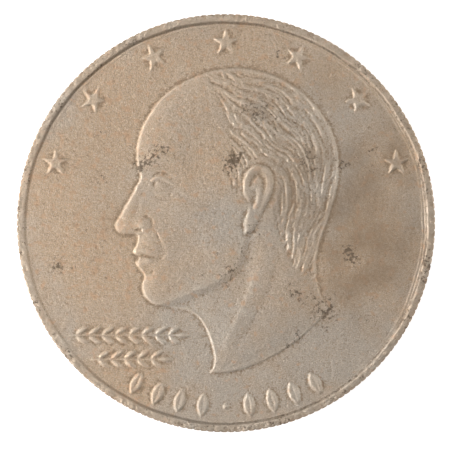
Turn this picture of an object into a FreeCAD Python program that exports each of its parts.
"""A clad dollar-size coin, lying face up on its reverse.

The coin is struck from a strip of three bonded metals, so it has three pieces: a copper core
between two cupronickel layers. The obverse layer carries a head in low relief inside a border
of stars, leaves and sprigs. The reverse layer carries a star inside a laurel wreath.
Lengths are in millimetres. +Z points out of the obverse and z = 0 is the plane that the coin
lies on. +Y is the top of the obverse.
"""

import FreeCAD, Part

import math
import os

import Sketcher
from FreeCAD import Placement, Rotation, Vector

# Every size that can be set by itself, with the cell comment that says what it is.
SIZES = [
    ("coin_diameter", 38.1, "over the reed crests"),
    ("coin_thickness", 2.58, "between the two rim planes"),
    ("edge_round", 0.15, "radius where a rim meets the reeded edge"),
    ("rim_land", 0.45, "width of the flat ring that a face rests on"),
    ("rim_slope", 0.35, "radial run of the slope from the rim down to the field"),
    ("field_depth", 0.24, "from the rim plane down to the field"),
    ("clad_under_field", 0.36, "thickness of a cupronickel layer under the field"),
    ("clad_at_edge", 0.43, "height of a cupronickel layer in the reeded edge"),
    ("clad_flare", 1.2, "width of the ring where the bond line bends towards the rim"),
    ("reed_count", 189, "grooves round the edge"),
    ("reed_width", 0.15, "width of a groove at the crests"),
    ("reed_depth", 0.09, "depth of a groove"),
    ("border_band", 3.1, "width of the ring of the field kept for the border"),
    ("star_radius", 1.3, "centre to point of an obverse star"),
    ("star_gap", 0.35, "from an obverse star's point to the rim slope"),
    ("star_pitch", 23.5, "degrees between two obverse stars"),
    ("leaf_length", 2.3, "length of a border leaf"),
    ("leaf_width", 1.15, "width of a border leaf"),
    ("leaf_gap", 0.25, "from a border leaf's tip to the rim slope"),
    ("leaf_pitch", 7.3, "degrees between two border leaves"),
    ("pellet_radius", 0.32, "radius of the border pellet"),
    ("sprig_leaf_length", 1.45, "length of a sprig leaf"),
    ("sprig_leaf_width", 0.5, "width of a sprig leaf"),
    ("sprig_leaf_pitch", 1.2, "distance between leaf pairs along a sprig"),
    ("stem_width", 0.16, "width of a stem"),
    ("ornament_share", 0.5, "height of the stars, leaves and pellet, in field depths"),
    ("stem_share", 0.34, "height of the stems, in field depths"),
    ("outline_share", 0.38, "height of the head's outline, in field depths"),
    ("crown_share", 0.79, "height of the head's middle, in field depths"),
    ("hair_share", 0.085, "height of the hair above the head, in field depths"),
    ("ear_share", 0.12, "height of the ear above the head, in field depths"),
    ("feature_share", 0.075, "height of the face's features above the head, in field depths"),
    ("wreath_gap", 1.5, "from the wreath's outer leaf tips to the rim slope"),
    ("wreath_leaf_length", 3.3, "length of a wreath leaf"),
    ("wreath_leaf_width", 1.15, "width of a wreath leaf"),
    ("wreath_leaf_splay", 27, "degrees between a wreath leaf and its stem"),
    ("wreath_pairs", 9, "leaf pairs on one branch of the wreath"),
    ("wreath_opening", 24, "degrees from the wreath's top to where a branch ends"),
    ("wreath_star_radius", 5.4, "centre to point of the reverse star"),
]

STARS = 7
LEAVES_PER_SIDE = 4
SPRIG_PAIRS = (8, 5)
SPRIG_SPLAY = 32  # degrees between a sprig leaf and its stem
TIE_HEIGHT = 4  # the wreath's tie, in stem widths
WREATH_STAGGER = 0.4  # the inner leaves stand this part of a pitch behind the outer ones
STAR_POINTS = 5
STAR_WAIST = 0.42
# How far each kind of raised shape reaches down into its layer. No two that cross are equal.
ROOTS = {
    "leaf": 0.1, "stem": 0.08, "tie": 0.12, "head": 0.1, "hair": 0.08, "ear": 0.06, "feature": 0.04,
}

# The head, in hundredths of the portrait circle's radius, with the coin's axis at (0, 0).
# It runs from the front tip of the neck up the face, over the crown and down to the nape.
HEAD_PROFILE = [
    (-10.4, -91.6), (-7.4, -84.3), (-9.6, -72.0), (-15.0, -60.0), (-21.5, -54.2),
    (-33.0, -51.6), (-43.2, -49.8), (-49.6, -45.0), (-51.6, -38.5), (-50.2, -31.8),
    (-52.8, -28.0), (-55.2, -24.2), (-53.4, -21.0), (-56.6, -18.0), (-54.6, -12.0),
    (-54.4, -7.8), (-61.0, -7.2), (-66.2, -5.2), (-67.6, -0.8), (-65.2, 4.0),
    (-60.2, 13.0), (-55.4, 21.5), (-52.4, 28.0), (-54.4, 36.1), (-54.2, 48.2),
    (-48.6, 63.6), (-36.0, 79.4), (-15.4, 91.0), (8.7, 94.7), (33.4, 88.3),
    (54.9, 71.6), (67.0, 48.6), (68.6, 26.1), (63.6, 5.4), (57.2, -13.4),
    (55.0, -28.1), (57.2, -41.5), (63.0, -52.8),
]
NECK_CUT = [(63.0, -52.8), (46.0, -69.5), (26.0, -82.6), (5.0, -90.6), (-10.4, -91.6)]
# The hair starts behind the bare forehead, passes in front of and over the ear, and ends at
# the nape. Its outer side stands just inside the head's own outline.
HAIR_FRONT = [
    (-6.0, 90.5), (2.0, 78.0), (5.5, 62.0), (1.5, 47.0), (-1.5, 33.0), (3.0, 19.0),
    (9.0, 22.0), (13.5, 34.5), (25.0, 37.0), (31.5, 24.0), (29.0, 6.0), (34.0, -12.0),
    (43.0, -27.0), (52.5, -31.0),
]
HAIR_BACK = [
    (52.5, -31.0), (54.8, -13.4), (61.0, 5.4), (66.0, 26.1), (64.6, 48.0), (53.0, 70.0),
    (32.2, 86.2), (8.7, 92.3), (-6.0, 90.5),
]
EAR = [
    (12.5, 8.0), (8.5, 22.0), (13.0, 33.0), (22.0, 35.5), (29.5, 27.0), (27.0, 12.0),
    (19.0, 1.0), (13.0, -6.5), (10.0, -1.0),
]
# The face's own raised shapes, which all stand equally high above the head.
FEATURES = {
    "brow": [
        (-51.0, 31.6), (-47.0, 36.4), (-39.0, 38.6), (-29.0, 34.2), (-38.0, 35.0), (-46.0, 32.4),
    ],
    "eye": [
        (-43.4, 26.2), (-45.2, 22.6), (-42.6, 19.0), (-37.0, 19.4), (-30.6, 21.8), (-36.6, 26.2),
    ],
    "nostril": [(-50.4, -5.6), (-53.4, -1.8), (-50.8, 2.2), (-46.8, 0.2), (-46.6, -4.2)],
    "upper_lip": [(-54.4, -18.6), (-49.0, -17.0), (-42.6, -20.4), (-49.0, -20.8), (-53.0, -20.6)],
    "lower_lip": [(-53.4, -23.8), (-50.0, -22.0), (-43.6, -21.8), (-46.6, -25.0), (-51.4, -26.4)],
    "neck_muscle": [
        (27.0, -10.0), (21.0, -32.0), (8.0, -58.0), (-4.0, -78.0), (-3.0, -87.0), (7.0, -74.0),
        (19.0, -54.0), (29.0, -34.0), (32.0, -16.0),
    ],
}
# Where each sprig's stem starts, in hundredths of the field's radius.
SPRIG_STARTS = [(-78.5, -56.4), (-67.4, -68.5)]

FACES = {"obverse": True, "reverse": False}


def fill_sheet(doc):
    """The spreadsheet that holds SIZES, one alias a row."""
    sheet = doc.addObject("Spreadsheet::Sheet", "dims")
    for row, (name, value, meaning) in enumerate(SIZES, start=1):
        sheet.set(f"A{row}", name)
        sheet.set(f"B{row}", str(value))
        sheet.set(f"C{row}", meaning)
        sheet.setAlias(f"B{row}", name)
    doc.recompute()
    return sheet


def size(doc, expression):
    """The value of an expression on the sheet's cells, such as "dims.coin_diameter / 2"."""
    return float(doc.dims.evalExpression(expression))


# Expressions that several features share.
RADIUS = "dims.coin_diameter / 2"
LAND_OUTER = f"({RADIUS} - dims.edge_round)"
LAND_INNER = f"({LAND_OUTER} - dims.rim_land)"
FIELD_RADIUS = f"({LAND_INNER} - dims.rim_slope)"
BOND_DEPTH = "(dims.field_depth + dims.clad_under_field)"
FLARE_START = f"({RADIUS} - dims.clad_flare)"
PORTRAIT_RADIUS = f"({FIELD_RADIUS} - dims.border_band)"
STAR_CIRCLE = f"({FIELD_RADIUS} - dims.star_gap - dims.star_radius)"
LEAF_CIRCLE = f"({FIELD_RADIUS} - dims.leaf_gap - dims.leaf_length / 2)"
OUTLINE_RISE = "dims.outline_share * dims.field_depth"
CROWN_RISE = "dims.crown_share * dims.field_depth"
ORNAMENT_RISE = "dims.ornament_share * dims.field_depth"
STEM_RISE = "dims.stem_share * dims.field_depth"
TIE_RISE = f"1.2 * {ORNAMENT_RISE}"


def height_at(depth, is_obverse):
    """The z of a point that lies at a depth below a face's rim plane, as an expression."""
    return f"dims.coin_thickness - ({depth})" if is_obverse else f"{depth}"


def origin_plane(body, role):
    return next(f for f in body.Origin.OriginFeatures if f.Role == role)


def flat_sketch(owner, name, plane=None):
    """A sketch on a body's origin plane, or one that stands alone on the XY plane."""
    if plane is None:
        return owner.addObject("Sketcher::SketchObject", name)
    sketch = owner.newObject("Sketcher::SketchObject", name)
    sketch.AttachmentSupport = [(origin_plane(owner, plane), "")]
    sketch.MapMode = "FlatFace"
    return sketch


def pin_point(doc, sketch, edge, along, expression):
    """Holds the start of an edge at a distance from an axis, bound to the sheet."""
    value = size(doc, expression)
    if abs(value) < 1e-9:
        axis = -2 if along == "DistanceX" else -1
        sketch.addConstraint(Sketcher.Constraint("PointOnObject", edge, 1, axis))
        return
    ends = (-1, 1, edge, 1) if value > 0 else (edge, 1, -1, 1)
    index = sketch.addConstraint(Sketcher.Constraint(along, *ends, abs(value)))
    sketch.setExpression(f"Constraints[{index}]", expression if value > 0 else f"-({expression})")


def closed_profile(doc, sketch, corners):
    """A closed polygon whose corners are pairs of expressions."""
    places = [Vector(size(doc, x), size(doc, y), 0) for x, y in corners]
    count = len(corners)
    for i in range(count):
        sketch.addGeometry(Part.LineSegment(places[i], places[(i + 1) % count]), False)
    for i in range(count):
        sketch.addConstraint(Sketcher.Constraint("Coincident", i, 2, (i + 1) % count, 1))
    for i, (x, y) in enumerate(corners):
        pin_point(doc, sketch, i, "DistanceX", x)
        pin_point(doc, sketch, i, "DistanceY", y)


def turned(doc, body, name, corners):
    """A solid of revolution about the coin's axis."""
    sketch = flat_sketch(body, f"{name}_section", "XZ_Plane")
    closed_profile(doc, sketch, corners)
    doc.recompute()
    solid = body.newObject("PartDesign::Revolution", name)
    solid.Profile = sketch
    solid.ReferenceAxis = (sketch, ["V_Axis"])
    solid.Angle = 360
    doc.recompute()
    return solid


def rounded_rim(doc, body, turned_solid, is_obverse):
    """Rounds the corner where the rim's flat meets the reeded edge."""
    rim_height = size(doc, height_at(0, is_obverse))
    rim_radius = size(doc, RADIUS)
    edges = [
        f"Edge{i}"
        for i, edge in enumerate(turned_solid.Shape.Edges, start=1)
        if isinstance(edge.Curve, Part.Circle)
        and abs(edge.Curve.Radius - rim_radius) < 1e-6
        and abs(edge.Curve.Center.z - rim_height) < 1e-6
    ]
    fillet = body.newObject("PartDesign::Fillet", "rim_round")
    fillet.Base = (turned_solid, edges)
    fillet.setExpression("Radius", "dims.edge_round")
    doc.recompute()
    return fillet


def reeded(doc, body):
    """Cuts one groove through the edge and repeats it round the coin."""
    sketch = flat_sketch(body, "reed_section", "XY_Plane")
    outside = f"{RADIUS} + dims.reed_depth"
    closed_profile(
        doc,
        sketch,
        [
            (f"{RADIUS} - dims.reed_depth", "0 * dims.reed_width"),
            (outside, "dims.reed_width"),
            (outside, "-dims.reed_width"),
        ],
    )
    doc.recompute()
    groove = body.newObject("PartDesign::Pocket", "reed")
    groove.Profile = sketch
    groove.Type = 0
    groove.Midplane = True
    groove.setExpression("Length", "3 * dims.coin_thickness")
    doc.recompute()
    pattern = body.newObject("PartDesign::PolarPattern", "reeds")
    pattern.Originals = [groove]
    pattern.Axis = (sketch, ["N_Axis"])
    pattern.Angle = 360
    pattern.setExpression("Occurrences", "dims.reed_count")
    body.Tip = pattern
    doc.recompute()
    return pattern


def add_joined(sketch, wire):
    """Adds the curves of one closed outline and holds each to the next where their ends meet."""
    first = sketch.GeometryCount
    for curve in wire:
        sketch.addGeometry(curve, False)
    neighbours = {1: [], 2: [(0, 1)]}.get(len(wire), [(i, i + 1) for i in range(len(wire))])
    for i, j in neighbours:
        here, after = first + i, first + j % len(wire)
        for end in (1, 2):
            for start in (1, 2):
                apart = sketch.getPoint(here, end) - sketch.getPoint(after, start)
                if apart.Length < 1e-7:
                    meeting = Sketcher.Constraint("Coincident", here, end, after, start)
                    sketch.addConstraint(meeting)


def raised(doc, body, name, wires, rise, is_obverse):
    """Pads closed outlines out of the field, from a root inside the layer.

    The name's first word picks the root. The outlines in one call don't cross each other.
    """
    sketch = flat_sketch(body, f"{name}_outline", "XY_Plane")
    for wire in wires:
        add_joined(sketch, wire)
    root = ROOTS[name.split("_")[0]]
    sketch.setExpression("AttachmentOffset.Base.z", height_at(f"dims.field_depth + {root}", is_obverse))
    doc.recompute()
    before = body.Shape.Volume
    pad = body.newObject("PartDesign::Pad", name)
    pad.Profile = sketch
    pad.Type = 0
    pad.Reversed = not is_obverse
    pad.setExpression("Length", f"{rise} + {root}")
    doc.recompute()
    outlined = sum(Part.Face(Part.Wire([c.toShape() for c in wire])).Area for wire in wires)
    gained = (body.Shape.Volume - before) / (outlined * size(doc, rise))
    if not 0.5 < gained < 1.3:
        raise RuntimeError(f"{name} added {gained:.2f} times its own volume")
    return pad


def place_on(points, centre, turn):
    """Points given about a centre, turned by degrees and moved there."""
    spin = Rotation(Vector(0, 0, 1), turn)
    return [centre + spin.multVec(point) for point in points]


def around(radius, degrees):
    angle = math.radians(degrees)
    return Vector(radius * math.cos(angle), radius * math.sin(angle), 0)


def star_wire(centre, radius, turn):
    """The straight sides of a star with one point along the turn."""
    tips = [
        around(radius * (1 if i % 2 == 0 else STAR_WAIST), 180 / STAR_POINTS * i)
        for i in range(2 * STAR_POINTS)
    ]
    corners = place_on(tips, centre, turn)
    return [
        Part.LineSegment(corners[i], corners[(i + 1) % len(corners)])
        for i in range(len(corners))
    ]


def leaf_wire(root, length, width, turn):
    """A pointed leaf from its root along the turn, as two arcs."""
    tip = Vector(length, 0, 0)
    side = Vector(length / 2, width / 2, 0)
    other = Vector(length / 2, -width / 2, 0)
    start, upper, end, lower = place_on([Vector(), side, tip, other], root, turn)
    return [Part.Arc(start, upper, end), Part.Arc(end, lower, start)]


def spline_through(points, unit):
    curve = Part.BSplineCurve()
    curve.interpolate([Vector(x * unit, y * unit, 0) for x, y in points])
    return curve


def bar_wire(start, end, width):
    """A straight stem of even width."""
    along = (end - start).normalize()
    side = Vector(-along.y, along.x, 0) * (width / 2)
    corners = [start + side, end + side, end - side, start - side]
    return [Part.LineSegment(corners[i], corners[(i + 1) % 4]) for i in range(4)]


def bow_wire(radius, first, last, width):
    """A curved stem of even width along a circle about the coin's axis."""
    inner, outer = radius - width / 2, radius + width / 2
    middle = (first + last) / 2
    return [
        Part.Arc(around(outer, first), around(outer, middle), around(outer, last)),
        Part.LineSegment(around(outer, last), around(inner, last)),
        Part.Arc(around(inner, last), around(inner, middle), around(inner, first)),
        Part.LineSegment(around(inner, first), around(outer, first)),
    ]


def border_stars(doc):
    """Seven stars in an arc over the head, each with a point towards the rim."""
    circle = size(doc, STAR_CIRCLE)
    pitch = size(doc, "dims.star_pitch")
    first = 90 - pitch * (STARS - 1) / 2
    radius = size(doc, "dims.star_radius")
    turns = [first + pitch * i for i in range(STARS)]
    return [star_wire(around(circle, turn), radius, turn) for turn in turns]


def border_leaves(doc):
    """Upright leaves along the bottom, four each side of a pellet."""
    length = size(doc, "dims.leaf_length")
    width = size(doc, "dims.leaf_width")
    pitch = size(doc, "dims.leaf_pitch")
    circle = size(doc, LEAF_CIRCLE)
    wires = [[Part.Circle(around(circle, -90), Vector(0, 0, 1), size(doc, "dims.pellet_radius"))]]
    for i in range(LEAVES_PER_SIDE):
        for side in (-1, 1):
            turn = -90 + side * pitch * (i + 1)
            wires.append(leaf_wire(around(circle + length / 2, turn), length, width, turn + 180))
    return wires


def sprigs(doc):
    """Two level sprigs left of the neck: their stems, upper leaves and lower leaves.

    The lower leaves include the one at each sprig's tip.
    """
    field = size(doc, FIELD_RADIUS) / 100
    pitch = size(doc, "dims.sprig_leaf_pitch")
    length = size(doc, "dims.sprig_leaf_length")
    width = size(doc, "dims.sprig_leaf_width")
    stem = size(doc, "dims.stem_width")
    stems, upper, lower = [], [], []
    for (x, y), pairs in zip(SPRIG_STARTS, SPRIG_PAIRS):
        start = Vector(x * field, y * field, 0)
        end = start + Vector(pairs * pitch, 0, 0)
        stems.append(bar_wire(start, end, stem))
        lower.append(leaf_wire(end - Vector(stem, 0, 0), length + stem, width, 0))
        for i in range(pairs):
            foot = start + Vector(pitch * (i + 0.4), 0, 0)
            side = Vector(0, stem / 3, 0)
            upper.append(leaf_wire(foot + side, length, width, SPRIG_SPLAY))
            lower.append(leaf_wire(foot - side, length, width, -SPRIG_SPLAY))
    return {"stem_sprigs": stems, "leaf_uppers": upper, "leaf_lowers": lower}


def wreath(doc):
    """Two branches tied at the bottom of the reverse, with the wreath's top left open."""
    length = size(doc, "dims.wreath_leaf_length")
    width = size(doc, "dims.wreath_leaf_width")
    splay = size(doc, "dims.wreath_leaf_splay")
    pairs = int(size(doc, "dims.wreath_pairs"))
    stem = size(doc, "dims.stem_width")
    reach = length * math.sin(math.radians(splay)) + width / 2
    radius = size(doc, FIELD_RADIUS) - size(doc, "dims.wreath_gap") - reach
    step = (180 - size(doc, "dims.wreath_opening")) / (pairs + 1)
    outer, inner = [], []
    for side in (-1, 1):
        for i in range(1, pairs + 1):
            # The reverse reads from below, so its bottom is at +Y.
            turn = 90 + side * step * i
            outer.append(leaf_wire(around(radius, turn), length, width, turn + side * (90 - splay)))
            turn -= side * step * WREATH_STAGGER
            inner.append(leaf_wire(around(radius, turn), length, width, turn + side * (90 + splay)))
        last = 90 + side * step * (pairs + 0.6)
        inner.append(leaf_wire(around(radius, last), length, width, last + side * 90))
    reach = step * (pairs + 0.7)
    branches = bow_wire(radius, 90 - reach, 90 + reach, stem)
    tie = bar_wire(Vector(-width, radius, 0), Vector(width, radius, 0), TIE_HEIGHT * stem)
    return {"stem_wreath": [branches], "leaf_outers": outer, "leaf_inners": inner, "tie": [tie]}


def obverse_ornament(doc):
    """Outlines by name: stars over the head, leaves under it and sprigs before the neck."""
    return {"leaf_stars": border_stars(doc), "leaf_border": border_leaves(doc), **sprigs(doc)}


def reverse_ornament(doc):
    """Outlines by name: one large star inside a wreath."""
    star = star_wire(Vector(), size(doc, "dims.wreath_star_radius"), -90)
    return {"leaf_star": [star], **wreath(doc)}


def domed(doc, name, wire, unit, share):
    """A shape raised from the obverse, whose top is part of one large sphere.

    At the coin's axis the top stands at the head's middle height, and at the portrait circle
    at the outline's height, plus a share of the field's depth. No shape passes the rim plane.
    """
    sketch = flat_sketch(doc, f"{name}_outline")
    add_joined(sketch, [spline_through(points, unit) for points in wire])
    root = ROOTS.get(name, ROOTS["feature"])
    sketch.setExpression("Placement.Base.z", height_at(f"dims.field_depth + {root}", True))
    doc.recompute()
    prism = doc.addObject("Part::Extrusion", f"{name}_prism")
    prism.Base = sketch
    prism.DirMode = "Custom"
    prism.Dir = Vector(0, 0, 1)
    prism.Solid = True
    prism.setExpression("LengthFwd", f"dims.field_depth + {root}")
    sag = f"({CROWN_RISE} - {OUTLINE_RISE})"
    ball = doc.addObject("Part::Sphere", f"{name}_ball")
    ball_radius = f"({PORTRAIT_RADIUS} * {PORTRAIT_RADIUS} + {sag} * {sag}) / (2 * {sag})"
    ball.setExpression("Radius", ball_radius)
    top = f"dims.field_depth - {CROWN_RISE} - {share} * dims.field_depth"
    ball.setExpression("Placement.Base.z", f"{height_at(top, True)} - {ball_radius}")
    shape = doc.addObject("Part::Common", name)
    shape.Base = prism
    shape.Tool = ball
    doc.recompute()
    return shape


def cladding(doc, face):
    """One cupronickel layer: rim, field, bond face and reeds, without the head."""
    is_obverse = FACES[face]
    body = doc.addObject("PartDesign::Body", f"{face}_layer")
    section = [
        ("0 * dims.coin_thickness", height_at(BOND_DEPTH, is_obverse)),
        (FLARE_START, height_at(BOND_DEPTH, is_obverse)),
        (RADIUS, height_at("dims.clad_at_edge", is_obverse)),
        (RADIUS, height_at("0 * dims.coin_thickness", is_obverse)),
        (LAND_INNER, height_at("0 * dims.coin_thickness", is_obverse)),
        (FIELD_RADIUS, height_at("dims.field_depth", is_obverse)),
        ("0 * dims.coin_thickness", height_at("dims.field_depth", is_obverse)),
    ]
    blank = turned(doc, body, "struck_layer", section)
    rounded_rim(doc, body, blank, is_obverse)
    rises = {"leaf": ORNAMENT_RISE, "stem": STEM_RISE, "tie": TIE_RISE}
    shapes = obverse_ornament(doc) if is_obverse else reverse_ornament(doc)
    for name, wires in shapes.items():
        raised(doc, body, name, wires, rises[name.split("_")[0]], is_obverse)
    reeded(doc, body)
    return body


def copper_core(doc):
    """The copper layer, whose bond faces are those of the two cupronickel layers."""
    body = doc.addObject("PartDesign::Body", "copper_core")
    low, high = (height_at(BOND_DEPTH, is_obverse) for is_obverse in (False, True))
    low_edge, high_edge = (
        height_at("dims.clad_at_edge", is_obverse) for is_obverse in (False, True)
    )
    section = [
        ("0 * dims.coin_thickness", low),
        (FLARE_START, low),
        (RADIUS, low_edge),
        (RADIUS, high_edge),
        (FLARE_START, high),
        ("0 * dims.coin_thickness", high),
    ]
    turned(doc, body, "rolled_core", section)
    reeded(doc, body)
    return body


def obverse_cladding(doc):
    """The obverse layer with the head, its hair, ear and face fused to it."""
    unit = size(doc, PORTRAIT_RADIUS) / 100
    parts = [
        cladding(doc, "obverse"),
        domed(doc, "head", [HEAD_PROFILE, NECK_CUT], unit, "0"),
        domed(doc, "hair", [HAIR_FRONT, HAIR_BACK], unit, "dims.hair_share"),
        domed(doc, "ear", [EAR + EAR[:1]], unit, "dims.ear_share"),
    ]
    for name, points in FEATURES.items():
        parts.append(domed(doc, name, [points + points[:1]], unit, "dims.feature_share"))
    layer = doc.addObject("Part::MultiFuse", "obverse_cladding")
    layer.Shapes = parts
    doc.recompute()
    return layer


def check(doc, pieces):
    """Stops before anything is written if an object failed or a piece isn't a sound solid."""
    for item in doc.Objects:
        if "Invalid" in item.State or "Error" in item.State:
            raise RuntimeError(f"{item.Label} failed: {item.State}")
    for piece in pieces:
        shape = piece.Shape
        if shape.isNull() or not shape.isValid() or len(shape.Solids) != 1:
            raise RuntimeError(f"{piece.Label} isn't one sound solid")
        print(piece.Label, "mm3", round(shape.Volume, 2), "faces", len(shape.Faces))


def main():
    doc = FreeCAD.newDocument("coin")
    fill_sheet(doc)
    pieces = [obverse_cladding(doc), copper_core(doc), cladding(doc, "reverse")]
    for piece, label in zip(pieces, ("obverse_cladding", "copper_core", "reverse_cladding")):
        piece.Label = label
    check(doc, pieces)
    os.makedirs("parts", exist_ok=True)
    for piece in pieces:
        piece.Shape.exportStep(f"parts/{piece.Label}.step")


main()
